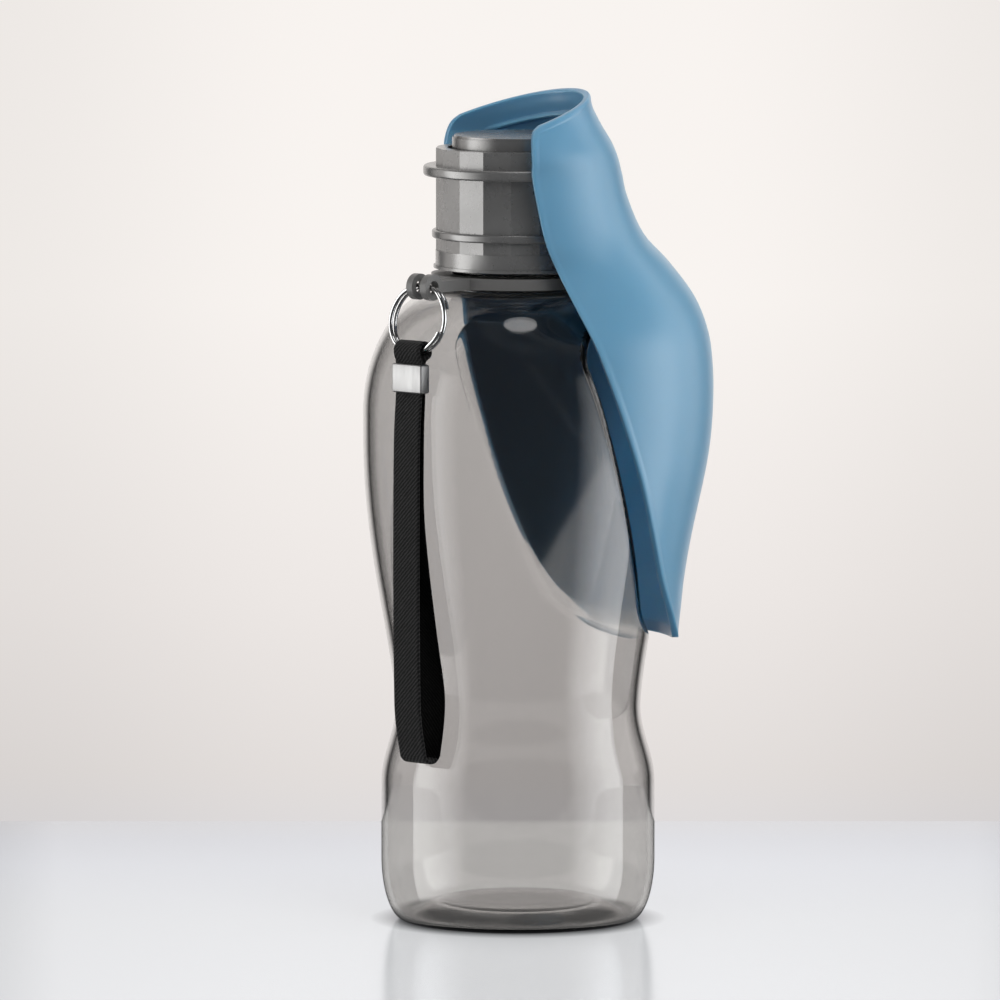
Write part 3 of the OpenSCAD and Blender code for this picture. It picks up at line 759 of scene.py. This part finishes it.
make_bottle()
make_trough()
make_cap_details()
key_ring = make_split_ring()
make_strap()
make_clip()


# ---------------------------------------------------------------- stage, light and camera
def around(angle, lift_angle, distance, height=0.12):
    """A point seen at an angle round the object, 0 at the camera and positive to its right."""
    a = math.radians(CAMERA_ANGLE - 90 + angle)
    e = math.radians(lift_angle)
    way = Vector((math.cos(a) * math.cos(e), math.sin(a) * math.cos(e), math.sin(e)))
    return way * distance + Vector((0, 0, height))


def area_light(name, angle, lift_angle, distance, size, power, mirrored=True):
    """A lamp that faces the object's middle."""
    data = bpy.data.lights.new(name, "AREA")
    data.shape = "RECTANGLE" if mirrored else "ELLIPSE"
    data.size, data.size_y = size
    data.energy = power
    obj = bpy.data.objects.new(name, data)
    bpy.context.scene.collection.objects.link(obj)
    obj.visible_glossy = obj.visible_transmission = mirrored
    obj.location = around(angle, lift_angle, distance)
    obj.rotation_euler = (Vector((0, 0, 0.12)) - obj.location).to_track_quat("-Z", "Y").to_euler()
    return obj


def along(m, axis):
    """Distance from the surface's own middle along one axis, in metres."""
    where = m.add("ShaderNodeTexCoord")
    parts = m.add("ShaderNodeSeparateXYZ")
    m.link(where.outputs["Object"], parts.inputs["Vector"])
    return parts.outputs[axis]


def fading(m, value, near, far, low):
    """1 up to one distance either side of the middle, falling smoothly to a lower value at another."""
    size = m.add("ShaderNodeMath", operation="ABSOLUTE")
    m.link(value, size.inputs[0])
    node = m.add(
        "ShaderNodeMapRange",
        {"From Min": near, "From Max": far, "To Min": 1.0, "To Max": low},
        interpolation_type="SMOOTHSTEP",
    )
    m.link(size.outputs["Value"], node.inputs["Value"])
    return node.outputs["Result"]


def times(m, first, second):
    node = m.add("ShaderNodeMath", operation="MULTIPLY")
    m.link(first, node.inputs[0])
    m.link(second, node.inputs[1])
    return node.outputs["Value"]


def seen_colours(m, axis, stops, strength):
    """Emission whose colour runs along one axis of the surface."""
    low, high = stops[0][0], stops[-1][0]
    shares = [((at - low) / (high - low), colour) for at, colour in stops]
    colour = m.ramp(m.range(along(m, axis), 0, 1, low, high), shares)
    glow = m.add("ShaderNodeEmission")
    m.link(colour, glow.inputs["Color"])
    m.link(strength, glow.inputs["Strength"])
    return glow.outputs["Emission"]


def mixed(m, amount, first, second):
    """Two shaders blended by a number or by a node's output."""
    node = m.add("ShaderNodeMixShader")
    if isinstance(amount, float):
        node.inputs["Fac"].default_value = amount
    else:
        m.link(amount, node.inputs["Fac"])
    m.link(first, node.inputs[1])
    m.link(second, node.inputs[2])
    return node.outputs["Shader"]


def wall_material():
    """A warm wall that glows to the camera, darker towards the floor and a little dimmer to the sides,
    painted shade, and that is clear from behind.

    Mirrored rays see a painted pattern of light and dark bands on it. Rays through the clear plastic see its
    middle lit and the rest nearly dark, painted shade.
    """
    m = Nodes("stage_wall")
    m.set(Roughness=0.9, Specular_IOR_Level=0.2)
    m.shader.inputs["Base Color"].default_value = (0.6, 0.59, 0.58, 1)
    # Colour up the wall: darker towards the floor, painted shade, pale above.
    stops = [(0.0, (0.735, 0.71, 0.71)), (0.015, (0.765, 0.728, 0.71)), (0.07, (0.85, 0.808, 0.786))]
    stops += [(0.16, (0.945, 0.905, 0.875)), (0.3, (0.94, 0.9, 0.87))]
    ray = m.add("ShaderNodeLightPath")
    side, up = along(m, "X"), along(m, "Z")
    # Through the clear plastic: bright only in a middle window, nearly dark to the sides and dimmer above,
    # painted shade.
    through = times(m, fading(m, side, 0.07, 0.13, 0.05), fading(m, up, 0.36, 0.55, 0.3))
    sides = [(-3, 0.1), (-2.4, 0.9), (-0.37, 0.9), (-0.28, 0.06), (-0.185, 0.06), (-0.15, 1.0)]
    sides += [(0.15, 1.0), (0.185, 0.06), (0.28, 0.06), (0.4, 1.4), (2.4, 1.4), (3, 0.1)]
    tones = [((at + 3) / 6, (value / 2,) * 3) for at, value in sides]
    mirrored = m.ramp(m.range(side, 0, 1, -3, 3), tones)
    bright = m.add("ShaderNodeMath", {1: 2.0}, operation="MULTIPLY")
    m.link(mirrored, bright.inputs[0])
    bent = m.add("ShaderNodeMath", operation="MAXIMUM")
    m.link(ray.outputs["Is Transmission Ray"], bent.inputs[0])
    m.link(ray.outputs["Is Glossy Ray"], bent.inputs[1])
    beyond = m.add("ShaderNodeMix", data_type="FLOAT")
    m.link(ray.outputs["Is Transmission Ray"], beyond.inputs["Factor"])
    m.link(times(m, bright.outputs["Value"], fading(m, up, 0.6, 0.9, 0.4)), beyond.inputs["A"])
    m.link(through, beyond.inputs["B"])
    strength = m.add("ShaderNodeMix", data_type="FLOAT")
    m.link(bent.outputs["Value"], strength.inputs["Factor"])
    m.link(fading(m, side, 0.05, 0.17, 0.9), strength.inputs["A"])
    m.link(beyond.outputs["Result"], strength.inputs["B"])
    glow = seen_colours(m, "Z", stops, strength.outputs["Result"])
    seen = m.add("ShaderNodeMath", operation="MAXIMUM")
    m.link(ray.outputs["Is Camera Ray"], seen.inputs[0])
    m.link(bent.outputs["Value"], seen.inputs[1])
    front = mixed(m, seen.outputs["Value"], m.shader.outputs["BSDF"], glow)
    facing = m.add("ShaderNodeNewGeometry")
    clear = m.add("ShaderNodeBsdfTransparent")
    m.link(mixed(m, facing.outputs["Backfacing"], front, clear.outputs["BSDF"]), m.output.inputs["Surface"])
    m.material.cycles.emission_sampling = "NONE"
    return m.material


def floor_material(wall_at):
    """A pale table that glows to the camera, darker and warmer towards the wall and a little dimmer to the
    sides, painted shade, with a painted shadow under the bottle's foot and a blurred reflection.

    Mirrored rays pass through it to the soft boxes, and rays through the clear plastic see it evenly lit
    apart from the painted shadow.
    """
    m = Nodes("stage_floor")
    m.shader.inputs["Base Color"].default_value = (0.8, 0.82, 0.86, 1)
    m.set(Roughness=0.8, Specular_IOR_Level=0.0)
    # Colour towards the wall: pale in front, darker and warmer near the wall, painted shade where floor meets
    # wall.
    stops = [(wall_at - 0.22, (0.97, 0.985, 1.0)), (wall_at - 0.1, (0.91, 0.925, 0.975))]
    stops += [(wall_at - 0.045, (0.845, 0.845, 0.885)), (wall_at, (0.84, 0.81, 0.805))]
    place = m.add("ShaderNodeTexCoord")
    spread = m.add("ShaderNodeVectorMath", operation="LENGTH")
    m.link(place.outputs["Object"], spread.inputs[0])
    # Painted shadow under the bottle: the glow falls to 0.12 within 34 mm of the axis and is full from 43 mm.
    under = m.range(spread.outputs["Value"], 0.12, 1, 0.034, 0.043)
    glow = seen_colours(m, "Y", stops, times(m, under, fading(m, along(m, "X"), 0.05, 0.17, 0.9)))
    gloss = m.add("ShaderNodeBsdfGlossy", {"Color": (0.93, 0.96, 1, 1), "Roughness": 0.15})
    m.link(m.range(m.noise(700, 3), 0.13, 0.18), gloss.inputs["Roughness"])
    matte = mixed(m, 0.72, m.shader.outputs["BSDF"], glow)
    table = mixed(m, 0.42, matte, gloss.outputs["BSDF"])
    ray = m.add("ShaderNodeLightPath")
    even = m.add("ShaderNodeEmission", {"Color": (0.93, 0.91, 0.89, 1)})
    m.link(under, even.inputs["Strength"])
    table = mixed(m, ray.outputs["Is Transmission Ray"], table, even.outputs["Emission"])
    near = m.add("ShaderNodeMath", {1: -0.12}, operation="LESS_THAN")
    m.link(along(m, "Y"), near.inputs[0])
    direct = m.add("ShaderNodeMath", {0: 1.0}, operation="SUBTRACT")
    m.link(ray.outputs["Is Transmission Ray"], direct.inputs[1])
    either = m.add("ShaderNodeMath", operation="MAXIMUM")
    m.link(near.outputs["Value"], either.inputs[0])
    m.link(direct.outputs["Value"], either.inputs[1])
    clear = m.add("ShaderNodeBsdfTransparent")
    amount = times(m, ray.outputs["Is Glossy Ray"], either.outputs["Value"])
    m.link(mixed(m, amount, table, clear.outputs["BSDF"]), m.output.inputs["Surface"])
    return m.material


def make_stage():
    """A floor and a wall behind it, turned so that +Y runs away from the camera."""
    wall_at = 0.215
    floor = [(-3, -3, 0), (3, -3, 0), (3, 3, 0), (-3, 3, 0)]
    wall = [(-2, wall_at, 0), (2, wall_at, 0), (2, wall_at, 2.4), (-2, wall_at, 2.4)]
    for name, corners, material in (
        ("stage_floor", floor, floor_material(wall_at)),
        ("stage_wall", wall, wall_material()),
    ):
        mesh = bpy.data.meshes.new(name)
        mesh.from_pydata(corners, [], [(0, 1, 2, 3)])
        mesh.materials.append(material)
        obj = bpy.data.objects.new(name, mesh)
        obj.rotation_euler.z = math.radians(CAMERA_ANGLE)
        bpy.context.scene.collection.objects.link(obj)


def soft_box(name, side, radiance, colour):
    """A tall curved box beside the bottle, brightest away from the camera and dim towards it."""
    columns, reach, low, high = 20, 0.9, -0.43, 0.58
    points, places = [], []
    for i in range(columns + 1):
        u = i / columns
        spot = around(side * mix(44, 98, u), 0, reach)
        points += [(spot.x, spot.y, low), (spot.x, spot.y, high)]
        places += [(u, 0.0), (u, 1.0)]
    faces = [(2 * i, 2 * i + 2, 2 * i + 3, 2 * i + 1) for i in range(columns)]
    mesh = bpy.data.meshes.new(name)
    mesh.from_pydata(points, [], faces)
    uv = mesh.uv_layers.new(name="UVMap")
    for loop in mesh.loops:
        uv.data[loop.index].uv = places[loop.vertex_index]
    m = Nodes(name)
    where = m.add("ShaderNodeTexCoord")
    parts = m.add("ShaderNodeSeparateXYZ")
    m.link(where.outputs["UV"], parts.inputs["Vector"])
    across = [(0, 0.0), (0.2, 0.3), (0.45, 0.7), (0.68, 1.0), (0.94, 1.0), (1, 0.75)]
    upright = [(0, 0.0), (0.1, 0.8), (0.2, 1.0), (0.84, 1.0), (0.93, 0.75), (1, 0.0)]
    tones = []
    for axis, stops in (("X", across), ("Y", upright)):
        tones.append(m.ramp(parts.outputs[axis], [(at, (value,) * 3) for at, value in stops]))
    power = m.add("ShaderNodeMath", {1: radiance}, operation="MULTIPLY")
    m.link(times(m, *tones), power.inputs[0])
    glow = m.add("ShaderNodeEmission", {"Color": (*colour, 1)})
    m.link(power.outputs["Value"], glow.inputs["Strength"])
    m.link(glow.outputs["Emission"], m.output.inputs["Surface"])
    mesh.materials.append(m.material)
    obj = bpy.data.objects.new(name, mesh)
    obj.visible_camera = False
    bpy.context.scene.collection.objects.link(obj)


def make_light():
    """A tall soft box at each side, a small light above, and fill that nothing mirrors.

    The world is bright to the camera alone, so that the backdrop past the wall's edge is pale.
    """
    soft_box("box_left", -1, 3.15, (1, 0.995, 0.985))
    soft_box("box_right", 1, 3.25, (0.985, 0.995, 1))
    small = area_light("top_small", 6, 76, 1.1, (0.36, 0.36), 0.7)
    small.data.shape = "DISK"
    area_light("top_fill", 10, 70, 1.3, (1, 1), 5, mirrored=False)
    area_light("front_fill", 28, 35, 1.8, (0.9, 0.9), 9, mirrored=False)
    world = bpy.data.worlds.new("stage_air")
    world.use_nodes = True
    world.node_tree.nodes["Background"].inputs["Color"].default_value = (0.92, 0.95, 1, 1)
    tree = world.node_tree
    ray = tree.nodes.new("ShaderNodeLightPath")
    low = tree.nodes.new("ShaderNodeMapRange")
    low.inputs["To Min"].default_value, low.inputs["To Max"].default_value = 0.16, 0.05
    tree.links.new(ray.outputs["Is Glossy Ray"], low.inputs["Value"])
    tone = tree.nodes.new("ShaderNodeMix")
    tone.data_type = "FLOAT"
    tone.inputs["B"].default_value = 0.86
    tree.links.new(ray.outputs["Is Camera Ray"], tone.inputs["Factor"])
    tree.links.new(low.outputs["Result"], tone.inputs["A"])
    tree.links.new(tone.outputs["Result"], tree.nodes["Background"].inputs["Strength"])
    bpy.context.scene.world = world


def make_camera():
    """Photograph's view: the base's middle at x 518, y 917 of 1000, about 0.2885 mm a pixel."""
    distance, mm_per_pixel, axis_x, base_y = 3600, 0.2885, 518, 917
    a, e = math.radians(CAMERA_ANGLE), math.radians(CAMERA_LIFT)
    back = Vector((math.sin(a) * math.cos(e), -math.cos(a) * math.cos(e), math.sin(e)))
    right = Vector((math.cos(a), math.sin(a), 0))
    aim = right * (500 - axis_x) * mm_per_pixel + UP * (base_y - 500) * 0.29 / math.cos(e)
    data = bpy.data.cameras.new("camera")
    data.sensor_width = 36
    data.lens = 36 * distance / (1000 * mm_per_pixel)
    data.clip_start, data.clip_end = 0.1, 20
    obj = bpy.data.objects.new("camera", data)
    bpy.context.scene.collection.objects.link(obj)
    obj.location = (aim + back * distance) * MM
    obj.rotation_euler = (-back).to_track_quat("-Z", "Y").to_euler()
    bpy.context.scene.camera = obj


make_stage()
make_light()
make_camera()
bpy.context.scene.view_settings.view_transform = "Standard"
